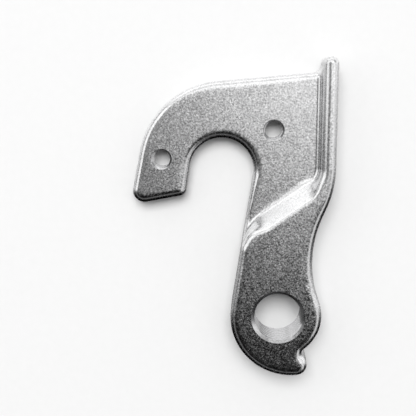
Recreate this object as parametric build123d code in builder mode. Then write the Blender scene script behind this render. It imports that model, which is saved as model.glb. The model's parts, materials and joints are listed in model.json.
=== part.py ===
"""Bicycle derailleur hanger: one forged aluminium bracket, lying on its flat back.

The frame recess faces up (+Z). The origin is on the axis of the derailleur thread,
on the back face. +Y runs from the derailleur thread towards the wheel axle, +X towards
the rear of the bicycle. Lengths are millimetres, angles are degrees.
"""

import os
from math import cos, radians, sin, sqrt

from build123d import *

# Thicknesses
arm_thickness = 7.5
plate_thickness = 4.0

# Slot for the wheel axle, leaning forward of the arm
axle_x = -11.0
axle_y = 27.7
slot_radius = 6.1
slot_lean = 8.9

# Hook around the slot
hook_centre_x = -10.43
hook_centre_y = 27.93
hook_radius = 16.44
hook_top_rise = 5.0
hook_lean = 11.4
hook_front_length = 10.64
tip_slant = 10.9
tip_outer_radius = 2.2

# Rib along the rear edge, with a free end above the hook plate
rib_outer_x = 10.28
rib_width = 2.8
rib_neck = 0.1
rib_free_length = 2.8
shoulder_rise = 2.4
shoulder_radius = 19.2

# Arm with the derailleur eye and its stop tab
waist_radius = 22.0
boss_radius = 8.27
cam_x = 2.5
cam_y = -0.3
notch_angle = -60.0
tab_lean = 41.0

# Step between the hook plate and the raised arm and rib
ramp_angle = 35.6
ramp_offset = 16.85
pocket_radius = 4.3
heel_setback = 1.6
heel_angle = 20.0
heel_radius = 7.0
root_radius = 0.95

# Rounding of the upper edges, and the broken edge of the back
edge_radius = 1.25
back_edge_break = 0.5

# Tapped holes: the thread's minor radius and the countersinks
derailleur_tap_radius = 4.5
derailleur_countersink = 0.65
derailleur_seat_countersink = 0.5
screw_tap_radius = 1.65
screw_countersink = 0.35
front_screw_x = -22.4
front_screw_y = 29.75
rear_screw_x = -1.2
rear_screw_y = 35.3

# Margin of the forging blank around the trimmed outline
flash = 5.0

# Shares that keep the roundings within the rib, the tab, the step and the plate that carry them
rib_end_share = 0.49
tab_tip_share = 0.43
notch_share = 0.21
rib_rim_share = 0.43
plate_rim_share = 0.5
crest_over_rim = 1.2
corner_over_rim = 1.2
root_share = 0.8
rib_corner_share = 0.85


def unit(angle):
    """Direction at an angle from +X."""
    return Vector(cos(radians(angle)), sin(radians(angle)))


def meet(point_a, direction_a, point_b, direction_b):
    """Point where two straight lines of the plan cross."""
    across = direction_a.cross(direction_b).Z
    along = (point_b - point_a).cross(direction_b).Z / across
    return point_a + direction_a * along


def leave_circle(centre, radius, point, direction):
    """Point where a line that starts inside a circle leaves it."""
    foot = point + direction * (centre - point).dot(direction)
    half_chord = sqrt(radius**2 - (foot - centre).length ** 2)
    return foot + direction * half_chord


def arc_about(centre, start, end):
    """Draw the shorter arc about a centre."""
    outward = ((start + end) * 0.5 - centre).normalized()
    ThreePointArc(start, centre + outward * (start - centre).length, end)


def round_corners(sketch, corners):
    """Round named corners of a sketch, each with its own radius."""
    for corner, radius in corners:
        fillet(sketch.vertices().sort_by_distance(corner)[0], radius)


# Directions of the plan
slot_down = unit(270 - slot_lean)
slot_front = unit(180 - slot_lean)
hook_down = unit(270 - hook_lean)
hook_out = unit(180 - hook_lean)
top_along = unit(hook_top_rise)
top_out = unit(90 + hook_top_rise)
rib_along = unit(90)
ramp_along = unit(ramp_angle)
ramp_out = unit(90 + ramp_angle)
heel_along = unit(270 - slot_lean - heel_angle)
tip_along = unit(tip_slant)
tab_down = unit(270 + tab_lean)

# Corner of the recess between the rib and the ramp
rib_inner_x = rib_outer_x - rib_width
ramp_mid = ramp_out * ramp_offset
pocket = meet(Vector(rib_inner_x, 0), rib_along, ramp_mid, ramp_along)

# Centres of the outline's arcs; the waist arc touches the boss and the shoulder from outside
eye = Vector(0, 0)
axle = Vector(axle_x, axle_y)
hook = Vector(hook_centre_x, hook_centre_y)
cam = Vector(cam_x, cam_y)
shoulder = Vector(rib_outer_x - shoulder_radius, pocket.Y + shoulder_rise)
eye_to_waist = boss_radius + waist_radius
shoulder_to_waist = shoulder_radius + waist_radius
waist_along = (shoulder.length**2 + eye_to_waist**2 - shoulder_to_waist**2) / (2 * shoulder.length)
waist_beside = sqrt(eye_to_waist**2 - waist_along**2)
spine = shoulder.normalized()
waist = spine * waist_along + Vector(spine.Y, -spine.X) * waist_beside

# Corners and tangent points of the outline, counter-clockwise from the rear side of the slot
slot_rear = axle - slot_front * slot_radius
cam_radius = slot_front.dot(slot_rear - cam)
cam_start = cam + slot_front * cam_radius
notch = unit(notch_angle) * boss_radius
tab_tip = leave_circle(cam, cam_radius, notch, tab_down)
boss_end = waist.normalized() * boss_radius
shoulder_start = shoulder + (waist - shoulder).normalized() * shoulder_radius
rib_start = Vector(rib_outer_x, shoulder.Y)
hook_top = hook + top_out * hook_radius
rib_corner = meet(Vector(rib_inner_x + rib_neck, 0), rib_along, hook_top, top_along)
rib_front_top = rib_corner + rib_along * rib_free_length
rib_rear_top = Vector(rib_outer_x, rib_front_top.Y)
hook_front = hook + hook_out * hook_radius
tip_outer = hook_front + hook_down * hook_front_length
slot_mouth = axle + slot_front * slot_radius
tip_inner = meet(tip_outer, tip_along, slot_mouth, slot_down)
slot_crown = axle - slot_down * slot_radius

# Radii of the roundings
tab_length = (tab_tip - notch).length
tab_tip_radius = tab_tip_share * tab_length
notch_radius = notch_share * tab_length
rib_end_radius = rib_end_share * (rib_width - rib_neck)
rim_radius = min(edge_radius, rib_rim_share * rib_width, plate_rim_share * plate_thickness)
crest_radius = crest_over_rim * rim_radius
foot_radius = min(root_radius, root_share * (arm_thickness - plate_thickness - crest_radius))
rib_corner_radius = rib_corner_share * (rib_free_length - rib_end_radius)
corner_radius = corner_over_rim * rim_radius

# Corners of the step and of the forging blank
heel = meet(ramp_mid, ramp_along, slot_rear, slot_down) + ramp_along * heel_setback
blank_front = tip_outer.X - flash
blank_rear = rib_outer_x + flash
blank_low = cam_y - cam_radius - flash
blank_top = rib_front_top.Y + flash
heel_end = meet(heel, heel_along, Vector(0, blank_low), unit(0))

# Forging blank: the plate and arm levels, with the step between them rounded at crest and root
with BuildPart() as blank:
    with BuildSketch():
        with Locations(((blank_front + blank_rear) / 2, (blank_low + blank_top) / 2)):
            Rectangle(blank_rear - blank_front, blank_top - blank_low)
    extrude(amount=arm_thickness)
    with BuildSketch(Plane.XY.offset(plate_thickness)) as recess:
        with BuildLine():
            Polyline(
                (rib_inner_x, blank_top),
                pocket,
                heel,
                heel_end,
                (blank_front, blank_low),
                (blank_front, blank_top),
                close=True,
            )
        make_face()
        round_corners(recess, [(pocket, pocket_radius), (heel, heel_radius)])
    extrude(amount=arm_thickness - plate_thickness, mode=Mode.SUBTRACT)
    step = blank.faces().filter_by_position(Axis.Z, plate_thickness, arm_thickness, (False, False))
    fillet(step.edges().group_by(Axis.Z)[-1], radius=crest_radius)
    step = blank.faces().filter_by_position(Axis.Z, plate_thickness, arm_thickness, (False, False))
    fillet(step.edges().group_by(Axis.Z)[0], radius=foot_radius)

# Hanger: the blank trimmed to the outline, its edges rounded, its holes drilled for tapping
with BuildPart() as hanger:
    with BuildSketch() as outline:
        with BuildLine():
            Line(slot_rear, cam_start)
            arc_about(cam, cam_start, tab_tip)
            Line(tab_tip, notch)
            arc_about(eye, notch, boss_end)
            arc_about(waist, boss_end, shoulder_start)
            arc_about(shoulder, shoulder_start, rib_start)
            Polyline(rib_start, rib_rear_top, rib_front_top, rib_corner, hook_top)
            arc_about(hook, hook_top, hook_front)
            Polyline(hook_front, tip_outer, tip_inner, slot_mouth)
            ThreePointArc(slot_mouth, slot_crown, slot_rear)
        make_face()
        outline_corners = [
            (tab_tip, tab_tip_radius),
            (notch, notch_radius),
            (rib_rear_top, rib_end_radius),
            (rib_front_top, rib_end_radius),
            (rib_corner, rib_corner_radius),
            (tip_outer, tip_outer_radius),
            (tip_inner, corner_radius),
        ]
        round_corners(outline, outline_corners)
    extrude(amount=arm_thickness)
    add(blank.part, mode=Mode.INTERSECT)

    back = hanger.faces().sort_by(Axis.Z)[0]
    sides = hanger.faces().filter_by(lambda face: len(face.edges() & back.edges()) == 1)
    upper = hanger.faces().filter_by(lambda face: face != back and face not in sides)
    side_edges = sides.edges()
    fillet(upper.edges().filter_by(lambda edge: edge in side_edges), radius=rim_radius)
    chamfer(hanger.faces().sort_by(Axis.Z)[0].edges(), length=back_edge_break)

    with Locations((eye.X, eye.Y, arm_thickness)):
        Hole(derailleur_tap_radius)
    eye_mouths = hanger.edges(Select.LAST).filter_by(GeomType.CIRCLE).sort_by(Axis.Z)
    chamfer(eye_mouths[-1], length=derailleur_countersink)
    chamfer(eye_mouths[0], length=derailleur_seat_countersink)

    front_screw = (front_screw_x, front_screw_y, plate_thickness)
    rear_screw = (rear_screw_x, rear_screw_y, plate_thickness)
    with Locations(front_screw, rear_screw):
        Hole(screw_tap_radius)
    chamfer(hanger.edges(Select.LAST).filter_by(GeomType.CIRCLE), length=screw_countersink)

hanger.part.label = "hanger"

os.makedirs("parts", exist_ok=True)
export_step(hanger.part, "parts/hanger.step")
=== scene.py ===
"""Bicycle derailleur hanger: one forged, bead-blasted aluminium bracket on a pale studio floor.

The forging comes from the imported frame, in metres. The origin is on the axis of the derailleur
thread, in the flat back; +Y runs towards the wheel axle, +X towards the rear of the bicycle and
+Z out of the frame recess. This script softens the forging's rims, leans its ramp back, turns the
threads in its tapped holes and gives its faces, edges and bores their finish. Then it sets up the
floor, the light and the camera.
"""

from __future__ import annotations

import json
import logging
import math
from dataclasses import dataclass, field
from enum import Enum

import bmesh
import bpy
from mathutils import Matrix, Vector
from mathutils.kdtree import KDTree

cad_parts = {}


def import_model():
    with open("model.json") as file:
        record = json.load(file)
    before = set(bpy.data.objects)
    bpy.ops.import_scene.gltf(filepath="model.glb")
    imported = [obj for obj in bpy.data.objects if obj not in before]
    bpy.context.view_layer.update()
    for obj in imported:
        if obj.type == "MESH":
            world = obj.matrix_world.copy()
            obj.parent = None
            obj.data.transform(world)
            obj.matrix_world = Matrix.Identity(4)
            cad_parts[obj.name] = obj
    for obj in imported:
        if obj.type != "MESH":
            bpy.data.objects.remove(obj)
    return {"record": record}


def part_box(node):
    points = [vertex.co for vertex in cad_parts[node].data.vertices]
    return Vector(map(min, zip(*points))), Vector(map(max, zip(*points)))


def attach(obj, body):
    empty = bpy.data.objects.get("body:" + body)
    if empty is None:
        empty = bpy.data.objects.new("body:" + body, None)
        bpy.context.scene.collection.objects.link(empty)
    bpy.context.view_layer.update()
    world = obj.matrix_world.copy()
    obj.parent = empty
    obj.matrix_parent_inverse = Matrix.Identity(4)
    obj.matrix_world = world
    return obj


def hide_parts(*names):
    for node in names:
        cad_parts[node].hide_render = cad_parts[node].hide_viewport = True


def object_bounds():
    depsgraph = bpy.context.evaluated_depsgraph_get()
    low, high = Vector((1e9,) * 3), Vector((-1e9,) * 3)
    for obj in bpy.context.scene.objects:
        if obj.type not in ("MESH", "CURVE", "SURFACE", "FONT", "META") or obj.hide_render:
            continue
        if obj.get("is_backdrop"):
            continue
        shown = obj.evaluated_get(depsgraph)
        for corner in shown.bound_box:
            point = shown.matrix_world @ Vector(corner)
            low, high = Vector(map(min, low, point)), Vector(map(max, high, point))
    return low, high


LOG = logging.getLogger("derailleur_hanger")
MM = 0.001
MIDDLE_CHANCE = (0.5, 0.5, 0.5)


class ViewTransform(Enum):
    """Ways to turn the scene's light into picture colours."""

    STANDARD = "Standard"


class Blend(Enum):
    """Courses of a value between two limits."""

    LINEAR = "LINEAR"
    SMOOTH = "SMOOTHSTEP"


class Join(Enum):
    """Ways to put two values together."""

    ADD = "ADD"
    MULTIPLY = "MULTIPLY"
    MAXIMUM = "MAXIMUM"
    MINIMUM = "MINIMUM"


@dataclass(frozen=True)
class Cloud:
    """Cloudy noise: size of its patches in metres, number of finer layers and their share."""

    patch: float
    detail: float
    roughness: float


class NodeGraph:
    """Node tree with short calls to add and join its nodes."""

    def __init__(self, tree: bpy.types.NodeTree) -> None:
        """Start on a tree.

        Args:
            tree: The tree.
        """
        self.tree = tree
        self.coordinates = tree.nodes.new("ShaderNodeTexCoord")

    def join(self, source: bpy.types.NodeSocket, target: bpy.types.NodeSocket) -> None:
        """Link one socket to another."""
        self.tree.links.new(source, target)

    def parts(self, source: bpy.types.NodeSocket) -> tuple[bpy.types.NodeSocket, ...]:
        """Take a direction apart.

        Args:
            source: The direction.

        Returns:
            Its shares along X, Y and Z.
        """
        node = self.tree.nodes.new("ShaderNodeSeparateXYZ")
        self.join(source, node.inputs["Vector"])
        return tuple(node.outputs)

    def remap(
        self,
        source: bpy.types.NodeSocket,
        limits: tuple[float, float],
        result: tuple[float, float],
        blend: Blend = Blend.LINEAR,
    ) -> bpy.types.NodeSocket:
        """Carry a value from one range to another.

        Args:
            source: The value.
            limits: The range that counts.
            result: What its two ends become.
            blend: The course between the ends.

        Returns:
            The new value.
        """
        node = self.tree.nodes.new("ShaderNodeMapRange")
        node.interpolation_type = blend.value
        node.inputs["From Min"].default_value = limits[0]
        node.inputs["From Max"].default_value = limits[1]
        node.inputs["To Min"].default_value = result[0]
        node.inputs["To Max"].default_value = result[1]
        self.join(source, node.inputs["Value"])
        return node.outputs["Result"]

    def combine(
        self, how: Join, first: bpy.types.NodeSocket, second: bpy.types.NodeSocket
    ) -> bpy.types.NodeSocket:
        """Put two values together.

        Args:
            how: The way to put them together.
            first: One value.
            second: The other value.

        Returns:
            The result.
        """
        node = self.tree.nodes.new("ShaderNodeMath")
        node.operation = how.value
        self.join(first, node.inputs[0])
        self.join(second, node.inputs[1])
        return node.outputs["Value"]

    def mix(
        self,
        share: bpy.types.NodeSocket,
        first: bpy.types.NodeSocket,
        second: bpy.types.NodeSocket | float,
    ) -> bpy.types.NodeSocket:
        """Mix two values.

        Args:
            share: 0 gives the first value, 1 the second.
            first: One value.
            second: The other value, or a number.

        Returns:
            The mix.
        """
        node = self.tree.nodes.new("ShaderNodeMix")
        self.join(share, node.inputs["Factor"])
        self.join(first, node.inputs["A"])
        if isinstance(second, float):
            node.inputs["B"].default_value = second
        else:
            self.join(second, node.inputs["B"])
        return node.outputs["Result"]


class ShaderGraph(NodeGraph):
    """Node tree of one finish."""

    def __init__(self, name: str) -> None:
        """Start a material with a metal or paper shader and no texture.

        Args:
            name: The material's name.
        """
        self.material = bpy.data.materials.new(name)
        self.material.use_nodes = True
        self.material.node_tree.nodes.clear()
        super().__init__(self.material.node_tree)
        self.shader = self.tree.nodes.new("ShaderNodeBsdfPrincipled")
        output = self.tree.nodes.new("ShaderNodeOutputMaterial")
        self.join(self.shader.outputs["BSDF"], output.inputs["Surface"])

    def set(self, socket: str, value: float | tuple[float, ...]) -> None:
        """Give a socket of the shader a value that is the same all over."""
        self.shader.inputs[socket].default_value = value

    def noise(self, cloud: Cloud) -> bpy.types.NodeSocket:
        """Add cloudy noise over the piece.

        Args:
            cloud: The noise.

        Returns:
            The noise's value, about 0.5 on average.
        """
        node = self.tree.nodes.new("ShaderNodeTexNoise")
        node.inputs["Scale"].default_value = 1 / cloud.patch
        node.inputs["Detail"].default_value = cloud.detail
        node.inputs["Roughness"].default_value = cloud.roughness
        self.join(self.coordinates.outputs["Object"], node.inputs["Vector"])
        return node.outputs["Fac"]

    def dimples(self, spacing: float, smoothness: float) -> bpy.types.NodeSocket:
        """Add a field of round dents, low in the middle of each.

        Args:
            spacing: Distance between neighbouring dents in metres.
            smoothness: How softly the dents run together.

        Returns:
            The height, 0 at a dent's middle.
        """
        node = self.tree.nodes.new("ShaderNodeTexVoronoi")
        node.feature = "SMOOTH_F1"
        node.inputs["Scale"].default_value = 1 / spacing
        node.inputs["Smoothness"].default_value = smoothness
        self.join(self.coordinates.outputs["Object"], node.inputs["Vector"])
        return node.outputs["Distance"]

    def facets(self, spacing: float) -> bpy.types.NodeSocket:
        """Add small facets, each with three chance values of its own.

        Args:
            spacing: Distance between neighbouring facets in metres.

        Returns:
            The values, each from 0 to 1.
        """
        node = self.tree.nodes.new("ShaderNodeTexVoronoi")
        node.inputs["Scale"].default_value = 1 / spacing
        self.join(self.coordinates.outputs["Object"], node.inputs["Vector"])
        return node.outputs["Color"]

    def tilted(self, facets: bpy.types.NodeSocket, amount: bpy.types.NodeSocket) -> bpy.types.NodeSocket:
        """Tilt the surface's normal facet by facet.

        Args:
            facets: Chance values of the facets.
            amount: Largest tilt, about twice its size in radians.

        Returns:
            The tilted normal.
        """
        steps = []
        for operation in ("SUBTRACT", "SCALE", "ADD", "NORMALIZE"):
            node = self.tree.nodes.new("ShaderNodeVectorMath")
            node.operation = operation
            steps.append(node)
        centre, scale, add, normalize = steps
        self.join(facets, centre.inputs[0])
        centre.inputs[1].default_value = MIDDLE_CHANCE
        self.join(centre.outputs["Vector"], scale.inputs[0])
        self.join(amount, scale.inputs["Scale"])
        self.join(self.coordinates.outputs["Normal"], add.inputs[0])
        self.join(scale.outputs["Vector"], add.inputs[1])
        self.join(add.outputs["Vector"], normalize.inputs[0])
        return normalize.outputs["Vector"]

    def facing_up(self) -> bpy.types.NodeSocket:
        """Measure how level the surface is.

        Returns:
            The share of the surface's normal along Z, either way.
        """
        _, _, upward = self.parts(self.coordinates.outputs["Normal"])
        size = self.tree.nodes.new("ShaderNodeMath")
        size.operation = "ABSOLUTE"
        self.join(upward, size.inputs[0])
        return size.outputs["Value"]

    def tint(
        self,
        share: bpy.types.NodeSocket,
        low: tuple[float, float, float],
        high: tuple[float, float, float],
    ) -> None:
        """Colour the shader between two shades.

        Args:
            share: 0 gives the low shade, 1 the high one.
            low: Colour at 0.
            high: Colour at 1.
        """
        ramp = self.tree.nodes.new("ShaderNodeValToRGB")
        ramp.color_ramp.elements[0].color = (*low, 1.0)
        ramp.color_ramp.elements[1].color = (*high, 1.0)
        self.join(share, ramp.inputs["Fac"])
        self.join(ramp.outputs["Color"], self.shader.inputs["Base Color"])

    def relief(
        self, height: bpy.types.NodeSocket, depth: float, normal: bpy.types.NodeSocket | None = None
    ) -> None:
        """Roughen the shader's surface.

        Args:
            height: Relief from 0 to 1.
            depth: Its depth in metres.
            normal: The normal to start from, if not the surface's own.
        """
        node = self.tree.nodes.new("ShaderNodeBump")
        node.inputs["Strength"].default_value = 1.0
        node.inputs["Distance"].default_value = depth
        self.join(height, node.inputs["Height"])
        if normal is not None:
            self.join(normal, node.inputs["Normal"])
        self.join(node.outputs["Normal"], self.shader.inputs["Normal"])


@dataclass(frozen=True)
class BlastedAluminium:
    """Finish of the forging: grainy blasted faces and burnished edges."""

    name: str = "blasted_aluminium"
    shadow_shade: tuple[float, float, float] = (0.56, 0.56, 0.565)
    light_shade: tuple[float, float, float] = (0.84, 0.84, 0.845)
    grain: Cloud = Cloud(0.37 * MM, 1.0, 0.6)
    mottle: Cloud = Cloud(3.2 * MM, 3.0, 0.5)
    grain_limits: tuple[float, float] = (0.28, 0.72)
    grain_shade: tuple[float, float] = (0.0, 0.8)
    mottle_limits: tuple[float, float] = (0.3, 0.7)
    mottle_shade: tuple[float, float] = (0.0, 0.2)
    roughness_limits: tuple[float, float] = (0.3, 0.7)
    face_roughness: tuple[float, float] = (0.14, 0.26)
    edge_roughness: float = 0.04
    height_limits: tuple[float, float] = (0.25, 0.75)
    grain_height: tuple[float, float] = (0.0, 0.6)
    dent_spacing: float = 0.43 * MM
    dent_smoothness: float = 0.4
    dent_limits: tuple[float, float] = (0.0, 0.7)
    dent_height: tuple[float, float] = (0.0, 0.4)
    relief_depth: float = 0.008 * MM
    edge_relief: float = 0.25
    facet_spacing: float = 0.19 * MM
    facet_tilt: float = 0.08
    level_limits: tuple[float, float] = (0.90, 0.995)

    def material(self) -> bpy.types.Material:
        """Build the finish.

        Returns:
            The material.
        """
        graph = ShaderGraph(self.name)
        graph.set("Metallic", 1.0)
        face = graph.remap(graph.facing_up(), self.level_limits, (0.0, 1.0), Blend.SMOOTH)
        grain = graph.noise(self.grain)
        shade = graph.combine(
            Join.ADD,
            graph.remap(grain, self.grain_limits, self.grain_shade),
            graph.remap(graph.noise(self.mottle), self.mottle_limits, self.mottle_shade),
        )
        graph.tint(shade, self.shadow_shade, self.light_shade)
        roughness = graph.combine(
            Join.ADD,
            graph.remap(grain, self.roughness_limits, self.face_roughness),
            graph.remap(face, (0.0, 1.0), (self.edge_roughness, 0.0)),
        )
        graph.join(roughness, graph.shader.inputs["Roughness"])
        dents = graph.dimples(self.dent_spacing, self.dent_smoothness)
        height = graph.combine(
            Join.ADD,
            graph.remap(grain, self.height_limits, self.grain_height),
            graph.remap(dents, self.dent_limits, self.dent_height),
        )
        strength = graph.remap(face, (0.0, 1.0), (self.edge_relief, 1.0))
        tilt = graph.remap(face, (0.0, 1.0), (self.edge_relief * self.facet_tilt, self.facet_tilt))
        normal = graph.tilted(graph.facets(self.facet_spacing), tilt)
        graph.relief(graph.combine(Join.MULTIPLY, height, strength), self.relief_depth, normal)
        return graph.material


@dataclass(frozen=True)
class MachinedAluminiumAndShade:
    """Finish of the tapped holes: bright cut metal with fine tool marks. Its tone is darker than the
    faces' and also paints the shade inside the holes.
    """

    name: str = "machined_aluminium"
    # These shades are darker than the faces' shades. They give the cut metal's own tone and are also
    # painted shade inside the tapped holes.
    shadow_shade: tuple[float, float, float] = (0.38, 0.38, 0.385)
    light_shade: tuple[float, float, float] = (0.50, 0.50, 0.505)
    streak: Cloud = Cloud(0.25 * MM, 3.0, 0.55)
    streak_limits: tuple[float, float] = (0.3, 0.7)
    relief_depth: float = 0.004 * MM
    roughness: tuple[float, float] = (0.12, 0.22)

    def material(self) -> bpy.types.Material:
        """Build the finish.

        Returns:
            The material.
        """
        graph = ShaderGraph(self.name)
        graph.set("Metallic", 1.0)
        streaks = graph.noise(self.streak)
        shade = graph.remap(streaks, self.streak_limits, (0.0, 1.0))
        graph.tint(shade, self.shadow_shade, self.light_shade)
        roughness = graph.remap(streaks, self.streak_limits, self.roughness)
        graph.join(roughness, graph.shader.inputs["Roughness"])
        graph.relief(streaks, self.relief_depth)
        return graph.material


@dataclass(frozen=True)
class StudioPaper:
    """Finish of the floor: matt white paper."""

    name: str = "studio_paper"
    shadow_shade: tuple[float, float, float] = (0.57, 0.57, 0.57)
    light_shade: tuple[float, float, float] = (0.59, 0.59, 0.59)
    fibre: Cloud = Cloud(1.5 * MM, 2.0, 0.5)
    roughness: float = 0.9

    def material(self) -> bpy.types.Material:
        """Build the finish.

        Returns:
            The material.
        """
        graph = ShaderGraph(self.name)
        graph.set("Roughness", self.roughness)
        graph.set("Specular IOR Level", 0.0)
        graph.tint(graph.noise(self.fibre), self.shadow_shade, self.light_shade)
        return graph.material


def add_object(name: str, shape: bmesh.types.BMesh) -> bpy.types.Object:
    """Put a finished bmesh into the scene as an object at the origin.

    Args:
        name: Name of the object and of its mesh.
        shape: The bmesh, which is freed.

    Returns:
        The object.
    """
    mesh = bpy.data.meshes.new(name)
    shape.to_mesh(mesh)
    shape.free()
    piece = bpy.data.objects.new(name, mesh)
    bpy.context.scene.collection.objects.link(piece)
    return piece


def in_fixed_order(shape: bmesh.types.BMesh) -> bmesh.types.BMesh:
    """Rebuild a shape with its points and faces in a fixed order, because a boolean's order varies.

    Args:
        shape: The shape, which is freed.

    Returns:
        The same shape, always in the same order.
    """
    points = sorted(shape.verts, key=lambda vert: tuple(vert.co))
    places = {vert: place for place, vert in enumerate(points)}
    cycles = []
    for face in shape.faces:
        cycle = [places[vert] for vert in face.verts]
        first = cycle.index(min(cycle))
        cycles.append(cycle[first:] + cycle[:first])
    ordered = bmesh.new()
    corners = [ordered.verts.new(vert.co) for vert in points]
    for cycle in sorted(cycles):
        ordered.faces.new([corners[place] for place in cycle])
    shape.free()
    return ordered


@dataclass(frozen=True)
class TappedHole:
    """One tapped hole: its place in the frame and its metric thread."""

    mount: str
    major_radius: float
    pitch: float
    mouth_radius: float
    steps_per_turn: int = 56
    spare_turns: int = 2
    bore_overlap: float = 0.06 * MM
    root_flat: float = 1 / 8
    flank_slope: float = math.tan(math.radians(30))

    def place(self, record: dict) -> tuple[Vector, float]:
        """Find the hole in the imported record.

        Args:
            record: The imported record.

        Returns:
            A point on the hole's axis and the bore's radius, in metres.
        """
        mount = next(entry for entry in record["mounts"] if entry["name"] == self.mount)
        return Vector(mount["pos_m"]), mount["dims"]["r_mm"] * MM

    def groove(self, record: dict, low: float, high: float) -> bpy.types.Object:
        """Sweep the thread's groove as one right-handed helix through the metal.

        Args:
            record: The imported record.
            low: Height of the metal's lower face.
            high: Height of its upper face.

        Returns:
            The groove as a closed solid.
        """
        axis, bore = self.place(record)
        inner = bore - self.bore_overlap
        root_half = self.pitch * self.root_flat / 2
        mouth_half = root_half + (self.major_radius - inner) * self.flank_slope
        turns = math.ceil((high - low) / self.pitch) + self.spare_turns
        start = low - self.pitch
        shape = bmesh.new()
        section = [
            shape.verts.new((axis.x + radius, axis.y, start + rise))
            for radius, rise in (
                (inner, -mouth_half),
                (self.major_radius, -root_half),
                (self.major_radius, root_half),
                (inner, mouth_half),
            )
        ]
        profile = shape.faces.new(section)
        bmesh.ops.spin(
            shape,
            geom=[profile, *profile.edges, *profile.verts],
            cent=(axis.x, axis.y, 0.0),
            axis=(0.0, 0.0, 1.0),
            dvec=(0.0, 0.0, self.pitch / self.steps_per_turn),
            angle=math.tau * turns,
            steps=self.steps_per_turn * turns,
        )
        bmesh.ops.recalc_face_normals(shape, faces=shape.faces)
        return add_object(f"{self.mount}_groove", shape)

    def holds(self, record: dict, point: Vector) -> bool:
        """Tell whether a point is within the hole's countersunk mouth, seen along its axis."""
        axis, _ = self.place(record)
        return (point - axis).xy.length < self.mouth_radius


@dataclass(frozen=True)
class DrawnRims:
    """Upper rims of the forging, drawn inwards to a softer round than the solid's own fillet."""

    round_end: float = 0.89 * MM
    round_width: float = 1.05 * MM
    fillet: float = 1.204 * MM
    width: float = 1.9 * MM
    reach: float = 2.25 * MM
    outer: float = 0.05 * MM
    tolerance: float = 0.02 * MM
    tries: int = 10
    lowest: float = 2.0 * MM
    back_break: float = 1.0 * MM
    sample: float = 0.15 * MM
    upright: float = 0.05
    rib_from: float = 5.6 * MM
    rib_to: float = 6.6 * MM
    rib_low: float = 22.0 * MM

    def outline(self, shape: bmesh.types.BMesh, holes: tuple[TappedHole, ...], record: dict) -> KDTree:
        """Collect points along the outline, where the sides meet the broken back edge.

        Args:
            shape: The forging.
            holes: Its tapped holes, which don't count.
            record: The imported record.

        Returns:
            The points, all at height 0.
        """
        points = []
        for edge in shape.edges:
            start, end = (vert.co for vert in edge.verts)
            middle = (start + end) / 2
            slopes = sorted(abs(face.normal.z) for face in edge.link_faces)
            if middle.z > self.back_break or slopes[0] > self.upright or slopes[-1] < self.upright:
                continue
            if any(hole.holds(record, middle) for hole in holes):
                continue
            steps = max(1, round((end - start).length / self.sample))
            points += [start.lerp(end, step / steps) for step in range(steps + 1)]
        tree = KDTree(len(points))
        for index, point in enumerate(points):
            tree.insert((point.x, point.y, 0.0), index)
        tree.balance()
        return tree

    def drawn(self, depth: float) -> float:
        """Tell how far from the outline a point of the rim ends up.

        Args:
            depth: Its distance from the outline in the solid.

        Returns:
            Its distance from the outline in the drawn rim.
        """
        if depth < self.round_end:
            return depth * self.round_width / self.round_end
        if depth < self.fillet:
            share = (depth - self.round_end) / (self.fillet - self.round_end)
            return self.round_width + share * (self.width - self.round_width)
        share = (depth - self.fillet) / (self.reach - self.fillet)
        return self.width + share * (self.reach - self.width)

    def off_rib(self, place: Vector) -> float:
        """Tell how freely a rim is drawn at a place.

        Args:
            place: The place.

        Returns:
            0 along the rib, 1 away from it.
        """
        if place.y < self.rib_low:
            return 1.0
        return 1.0 - min(max((place.x - self.rib_from) / (self.rib_to - self.rib_from), 0.0), 1.0)

    def room(self, outline: KDTree, place: Vector, depth: float, step: Vector) -> float:
        """Find how much of a step inwards a point can take before it nears another side.

        Args:
            outline: Points along the outline.
            place: The point, at height 0.
            depth: Its distance from the outline.
            step: The step.

        Returns:
            The share of the step, from 0 to 1.
        """
        for count in range(self.tries, 0, -1):
            share = count / self.tries
            _, _, reached = outline.find(place + step * share)
            if reached > depth + step.length * share - self.tolerance:
                return share
        return 0.0

    def draw(self, shape: bmesh.types.BMesh, outline: KDTree, ramp: DraftedRamp) -> None:
        """Draw the upper rims inwards, except along the rib and at the ramp.

        Args:
            shape: The forging.
            outline: Points along the outline.
            ramp: The ramp.
        """
        for vert in shape.verts:
            level = Vector((vert.co.x, vert.co.y, 0.0))
            edge, _, depth = outline.find(level)
            if vert.co.z < self.lowest or not self.outer < depth < self.reach:
                continue
            share = self.off_rib(vert.co) * (1.0 - ramp.closeness(vert.co))
            step = (level - edge).normalized() * (self.drawn(depth) - depth) * share
            vert.co += step * self.room(outline, level, depth, step)


@dataclass(frozen=True)
class StepProfile:
    """Section of a step: a straight slope with a round at its root and one at its crest."""

    run: float
    root: float
    crest: float
    floor: float = 4.0 * MM
    top: float = 7.5 * MM
    middle: float = 5.6 * MM

    def out(self, height: float) -> float:
        """Tell how far the section is out from the slope's middle at a height.

        Args:
            height: The height.

        Returns:
            The distance, negative above the middle.
        """
        slope = math.atan2(1.0, self.run)
        foot = self.floor + self.root * (1.0 - math.cos(slope))
        head = self.top - self.crest * (1.0 - math.cos(slope))
        if height < foot:
            below = min(self.floor + self.root - height, self.root)
            centre = (self.middle - foot) * self.run + self.root * math.sin(slope)
            return centre - math.sqrt(self.root**2 - below**2)
        if height > head:
            above = min(height - self.top + self.crest, self.crest)
            centre = (self.middle - head) * self.run - self.crest * math.sin(slope)
            return centre + math.sqrt(self.crest**2 - above**2)
        return (self.middle - height) * self.run


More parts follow.
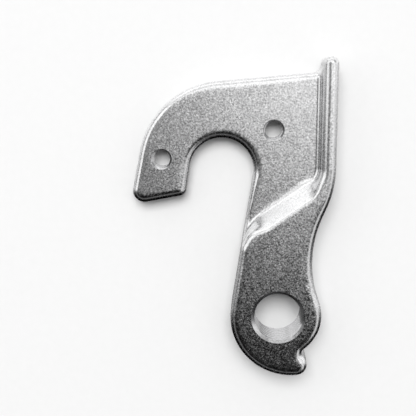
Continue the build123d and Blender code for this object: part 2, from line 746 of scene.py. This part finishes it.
@dataclass(frozen=True)
class DraftedRamp:
    """Draft of the ramp from the recess floor to the arm, which the solid has as an upright step."""

    bearing: float = 35.6
    distance: float = 16.85 * MM
    upright: StepProfile = StepProfile(run=0.0, root=0.95 * MM, crest=1.445 * MM)
    drafted: StepProfile = StepProfile(run=0.86, root=1.5 * MM, crest=0.9 * MM, middle=5.35 * MM)
    full_width: float = 2.2 * MM
    width: float = 4.0 * MM
    clear_width: float = 5.0 * MM
    pocket_start: float = 18.0 * MM
    pocket_end: float = 21.5 * MM
    front_start: float = 3.5 * MM
    front_end: float = 9.0 * MM
    rim: float = 1.0 * MM
    lowest: float = 2.0 * MM
    first_cut: float = 1.0 * MM
    cut_spacing: float = 0.6 * MM
    cut_tolerance: float = 0.006 * MM
    cuts: int = 38

    @staticmethod
    def fade(value: float, gone: float, full: float) -> float:
        """Rise smoothly from 0 to 1 between two values, in either order."""
        share = min(max((value - gone) / (full - gone), 0.0), 1.0)
        return share * share * (3.0 - 2.0 * share)

    def lean(self, height: float) -> float:
        """Tell how far out a point of the upright step moves to lie on the slope."""
        return self.drafted.out(height) - self.upright.out(height)

    def directions(self) -> tuple[Vector, Vector]:
        """Find the directions along the ramp and out of it, towards the recess.

        Returns:
            The two directions.
        """
        bearing = math.radians(self.bearing)
        along = Vector((math.cos(bearing), math.sin(bearing), 0.0))
        return along, Vector((-along.y, along.x, 0.0))

    def closeness(self, place: Vector) -> float:
        """Tell how close a place is to the ramp: 1 on it, 0 well away from it."""
        _, out = self.directions()
        return self.fade(abs(place.dot(out) - self.distance), self.clear_width, self.full_width)

    def holds(self, place: Vector, out: Vector) -> bool:
        """Tell whether a place is on the ramp or close to it."""
        return place.z > self.lowest and abs(place.dot(out) - self.distance) < self.width

    def draw(self, shape: bmesh.types.BMesh, outline: KDTree) -> None:
        """Lean the ramp back, and let the lean fade out at the pocket and at the front edge.

        Args:
            shape: The forging.
            outline: Points along its outline.
        """
        along, out = self.directions()
        for cut in range(self.cuts):
            place = along * (self.first_cut + cut * self.cut_spacing)
            near = [face for face in shape.faces if self.holds(face.calc_center_median(), out)]
            edges = dict.fromkeys(edge for face in near for edge in face.edges)
            verts = dict.fromkeys(vert for face in near for vert in face.verts)
            bmesh.ops.bisect_plane(
                shape,
                geom=[*near, *edges, *verts],
                dist=self.cut_tolerance,
                plane_co=place,
                plane_no=along,
            )
        for vert in shape.verts:
            if not self.holds(vert.co, out):
                continue
            across = abs(vert.co.dot(out) - self.distance)
            _, _, depth = outline.find(Vector((vert.co.x, vert.co.y, 0.0)))
            share = (
                self.fade(across, self.width, self.full_width)
                * self.fade(vert.co.dot(along), self.pocket_end, self.pocket_start)
                * self.fade(vert.co.dot(along), self.front_start, self.front_end)
                * self.fade(depth, 0.0, self.rim)
            )
            vert.co += out * self.lean(vert.co.z) * share


@dataclass
class HangerForging:
    """The hanger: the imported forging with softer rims, a drafted ramp, threads and finishes."""

    node: str = "hanger"
    body: str = "root"
    slot: str = "forged_aluminium"
    piece_name: str = "hanger_forging"
    merge_distance: float = 0.0001 * MM
    sliver: float = 0.002 * MM
    flat_angle: float = math.radians(0.1)
    sharp_angle: float = math.radians(28)
    flat_normal: float = 0.99999
    level_normal: float = 0.999
    face_weight: int = 100
    holes: tuple[TappedHole, ...] = (
        TappedHole("derailleur_thread", major_radius=4.94 * MM, pitch=1.0 * MM, mouth_radius=5.16 * MM),
        TappedHole("front_screw_thread", major_radius=1.94 * MM, pitch=0.7 * MM, mouth_radius=2.01 * MM),
        TappedHole("rear_screw_thread", major_radius=1.94 * MM, pitch=0.7 * MM, mouth_radius=2.01 * MM),
    )
    rims: DrawnRims = field(default_factory=DrawnRims)
    ramp: DraftedRamp = field(default_factory=DraftedRamp)
    face_finish: BlastedAluminium = field(default_factory=BlastedAluminium)
    bore_finish_and_shade: MachinedAluminiumAndShade = field(default_factory=MachinedAluminiumAndShade)

    def forging(self, record: dict) -> bpy.types.Object:
        """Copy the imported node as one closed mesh, with drawn rims and a drafted ramp.

        Args:
            record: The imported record.

        Returns:
            The copy.
        """
        shape = bmesh.new()
        shape.from_mesh(bpy.data.objects[self.node].data)
        bmesh.ops.remove_doubles(shape, verts=shape.verts, dist=self.merge_distance)
        bmesh.ops.dissolve_limit(shape, angle_limit=self.flat_angle, verts=[], edges=shape.edges)
        outline = self.rims.outline(shape, self.holes, record)
        flats = [face for face in shape.faces if face.normal.z > self.flat_normal]
        bmesh.ops.delete(shape, geom=flats, context="FACES")
        self.rims.draw(shape, outline, self.ramp)
        self.ramp.draw(shape, outline)
        self.fill_flats(shape)
        piece = add_object(self.piece_name, shape)
        piece.data.attributes.remove(piece.data.attributes["custom_normal"])
        return piece

    @staticmethod
    def fill_flats(shape: bmesh.types.BMesh) -> None:
        """Fill the openings of the upper flats, one level at a time.

        Args:
            shape: The forging without its upper flats.
        """
        bounds: dict[int, list[bmesh.types.BMEdge]] = {}
        for edge in shape.edges:
            if edge.is_boundary:
                bounds.setdefault(round(edge.verts[0].co.z / MM), []).append(edge)
        for edges in bounds.values():
            bmesh.ops.triangle_fill(shape, use_beauty=True, edges=edges, normal=Vector((0.0, 0.0, 1.0)))

    def turn_threads(self, piece: bpy.types.Object, record: dict) -> None:
        """Cut the thread's groove into each tapped hole.

        Args:
            piece: The forging.
            record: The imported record.
        """
        low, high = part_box(self.node)
        grooves = [hole.groove(record, low[2], high[2]) for hole in self.holes]
        for groove in grooves:
            cut = piece.modifiers.new(groove.name, "BOOLEAN")
            cut.operation = "DIFFERENCE"
            cut.solver = "EXACT"
            cut.object = groove
        ready = piece.evaluated_get(bpy.context.evaluated_depsgraph_get())
        shape = bmesh.new()
        shape.from_mesh(ready.to_mesh())
        shape = in_fixed_order(shape)
        piece.modifiers.clear()
        bmesh.ops.remove_doubles(shape, verts=shape.verts, dist=self.sliver)
        bmesh.ops.dissolve_degenerate(shape, edges=shape.edges, dist=self.sliver)
        shape.to_mesh(piece.data)
        shape.free()
        for groove in grooves:
            bpy.data.objects.remove(groove)

    def dress(self, piece: bpy.types.Object, record: dict) -> None:
        """Give the faces and the bores their finishes and shade the edges smooth.

        Args:
            piece: The forging with its threads.
            record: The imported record.
        """
        piece.data.materials.clear()
        piece.data.materials.append(self.face_finish.material())
        # The bore finish's darker tone paints shade inside the tapped holes.
        piece.data.materials.append(self.bore_finish_and_shade.material())
        shape = bmesh.new()
        shape.from_mesh(piece.data)
        for face in shape.faces:
            level = abs(face.normal.z) > self.level_normal
            in_hole = any(hole.holds(record, face.calc_center_median()) for hole in self.holes)
            face.material_index = int(in_hole and not level)
            face.smooth = True
        for edge in shape.edges:
            edge.smooth = edge.calc_face_angle(0.0) < self.sharp_angle
        shape.to_mesh(piece.data)
        shape.free()
        weights = piece.modifiers.new("face_weighted_shading", "WEIGHTED_NORMAL")
        weights.mode = "FACE_AREA"
        weights.weight = self.face_weight
        weights.keep_sharp = True

    def build(self, record: dict) -> bpy.types.Object:
        """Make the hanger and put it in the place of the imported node.

        Args:
            record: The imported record.

        Returns:
            The finished piece.
        """
        piece = self.forging(record)
        self.turn_threads(piece, record)
        self.dress(piece, record)
        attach(piece, self.body)
        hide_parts(self.node)
        return piece


@dataclass(frozen=True)
class Softbox:
    """One flat studio light with an even glow, placed by compass bearing and elevation."""

    name: str
    bearing: float
    elevation: float
    width: float
    height: float
    glow: float
    mirrored: bool = True
    distance: float = 2.0

    def build(self, aim: Vector) -> bpy.types.Object:
        """Hang the light so that it faces a point.

        Args:
            aim: The point.

        Returns:
            The light's object.
        """
        lamp = bpy.data.lights.new(self.name, "AREA")
        lamp.shape = "RECTANGLE"
        lamp.size = self.width
        lamp.size_y = self.height
        lamp.energy = self.glow * math.pi * self.width * self.height
        light = bpy.data.objects.new(self.name, lamp)
        bearing = math.radians(self.bearing)
        elevation = math.radians(self.elevation)
        level = math.cos(elevation)
        away = Vector((level * math.cos(bearing), level * math.sin(bearing), math.sin(elevation)))
        turn = (-away).to_track_quat("-Z", "Y").to_matrix().to_4x4()
        light.matrix_world = Matrix.Translation(aim + away * self.distance) @ turn
        light.visible_camera = False
        light.visible_glossy = self.mirrored
        bpy.context.scene.collection.objects.link(light)
        return light


@dataclass(frozen=True)
class StudioRoom:
    """Light of the room, which grows from its dark side to its pale side and dims at its walls.

    Limits are shares of a direction along one axis, and glows are strengths of the light. The
    camera itself sees an even, pale backdrop.
    """

    name: str = "studio_room"
    ceiling_limits: tuple[float, float] = (-0.295, 0.08)
    ceiling_glow: tuple[float, float] = (0.0, 1.56)
    side_limits: tuple[float, float] = (-0.15, 0.06)
    side_share: tuple[float, float] = (0.28, 1.0)
    front_limits: tuple[float, float] = (0.12, 0.8)
    front_pull: tuple[float, float] = (0.0, 0.8)
    ground_limits: tuple[float, float] = (-0.5, 0.35)
    ground_glow: tuple[float, float] = (0.0, 1.2)
    horizon: tuple[float, float] = (-0.05, 0.05)
    low_limits: tuple[float, float] = (0.18, 0.34)
    low_share: tuple[float, float] = (1.0, 0.22)
    high_limits: tuple[float, float] = (0.66, 0.85)
    high_share: tuple[float, float] = (0.22, 1.0)
    wall_foot: tuple[float, float] = (0.3, 0.42)
    wall_head: tuple[float, float] = (0.55, 0.7)
    wall_glow: float = 0.18
    backdrop_glow: float = 0.88

    def build(self) -> bpy.types.World:
        """Make the room the scene's world.

        Returns:
            The world.
        """
        room = bpy.data.worlds.new(self.name)
        room.use_nodes = True
        graph = NodeGraph(room.node_tree)
        sideways, forward, upward = graph.parts(graph.coordinates.outputs["Generated"])
        depth = graph.remap(forward, self.ceiling_limits, self.ceiling_glow)
        front = graph.remap(forward, self.front_limits, self.front_pull)
        side = graph.remap(graph.combine(Join.ADD, sideways, front), self.side_limits, self.side_share)
        under = graph.remap(upward, self.low_limits, self.low_share, Blend.SMOOTH)
        over = graph.remap(upward, self.high_limits, self.high_share, Blend.SMOOTH)
        ceiling = graph.combine(Join.MULTIPLY, depth, side)
        ceiling = graph.combine(Join.MULTIPLY, ceiling, graph.combine(Join.MAXIMUM, under, over))
        rise = graph.remap(upward, self.wall_foot, (0.0, self.wall_glow), Blend.SMOOTH)
        fall = graph.remap(upward, self.wall_head, (self.wall_glow, 0.0), Blend.SMOOTH)
        upper = graph.combine(Join.ADD, ceiling, graph.combine(Join.MINIMUM, rise, fall))
        lower = graph.remap(forward, self.ground_limits, self.ground_glow, Blend.SMOOTH)
        glow = graph.mix(graph.remap(upward, self.horizon, (0.0, 1.0), Blend.SMOOTH), lower, upper)
        straight = graph.tree.nodes.new("ShaderNodeLightPath").outputs["Is Camera Ray"]
        background = graph.tree.nodes["Background"]
        background.inputs["Color"].default_value = (1.0, 1.0, 1.0, 1.0)
        graph.join(graph.mix(straight, glow, self.backdrop_glow), background.inputs["Strength"])
        bpy.context.scene.world = room
        return room


@dataclass
class Studio:
    """Pale floor, soft lights and the camera."""

    floor_size: float = 60.0
    paper: StudioPaper = field(default_factory=StudioPaper)
    room: StudioRoom = field(default_factory=StudioRoom)
    softboxes: tuple[Softbox, ...] = (
        Softbox("key_softbox", 95.0, 62.0, width=1.2, height=1.0, glow=12.1, mirrored=False),
        Softbox("front_softbox", 100.0, 30.0, width=3.2, height=1.6, glow=0.6),
        Softbox("left_softbox", 163.0, 36.0, width=1.4, height=1.4, glow=1.2),
        Softbox("right_softbox", -14.0, 36.0, width=2.2, height=1.4, glow=0.65),
    )
    camera_place: tuple[float, float, float] = (-5.76 * MM, 46.36 * MM, 149.41 * MM)
    camera_look: tuple[float, float, float] = (-0.0525, -0.1753, -0.9831)
    focal_pixels: float = 775.0
    picture_pixels: float = 416.0
    sensor_width: float = 36.0
    nearest: float = 0.01

    def lay_floor(self, height: float) -> bpy.types.Object:
        """Lay the floor under the object.

        Args:
            height: Height of the object's lowest point.

        Returns:
            The floor.
        """
        shape = bmesh.new()
        bmesh.ops.create_grid(shape, x_segments=1, y_segments=1, size=self.floor_size / 2)
        bmesh.ops.translate(shape, verts=shape.verts, vec=(0.0, 0.0, height))
        floor = add_object("studio_floor", shape)
        floor.data.materials.append(self.paper.material())
        floor.visible_glossy = False
        floor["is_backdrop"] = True
        return floor

    def set_light(self, aim: Vector) -> None:
        """Hang the softboxes and set the room's light.

        Args:
            aim: The point that the softboxes face.
        """
        for softbox in self.softboxes:
            softbox.build(aim)
        self.room.build()
        bpy.context.scene.view_settings.view_transform = ViewTransform.STANDARD.value

    def set_camera(self) -> bpy.types.Object:
        """Stand the camera over the object.

        Returns:
            The camera.
        """
        lens = bpy.data.cameras.new("studio_camera")
        lens.sensor_width = self.sensor_width
        lens.lens = self.focal_pixels / self.picture_pixels * self.sensor_width
        lens.clip_start = self.nearest
        camera = bpy.data.objects.new("studio_camera", lens)
        look = Vector(self.camera_look).normalized()
        right = look.cross(Vector((0.0, 1.0, 0.0))).normalized()
        turn = Matrix((right, right.cross(look), -look)).transposed().to_4x4()
        camera.matrix_world = Matrix.Translation(Vector(self.camera_place)) @ turn
        bpy.context.scene.collection.objects.link(camera)
        bpy.context.scene.camera = camera
        return camera


def main() -> None:
    """Build the hanger and its studio."""
    logging.basicConfig(level=logging.INFO, format="%(name)s: %(message)s")
    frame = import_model()
    cad_low, cad_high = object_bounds()

    studio = Studio()
    studio.set_camera()
    studio.lay_floor(cad_low[2])
    studio.set_light((Vector(cad_low) + Vector(cad_high)) / 2)

    piece = HangerForging().build(frame["record"])
    LOG.info("%s: %d faces", piece.name, len(piece.data.polygons))


if __name__ == "__main__":
    main()
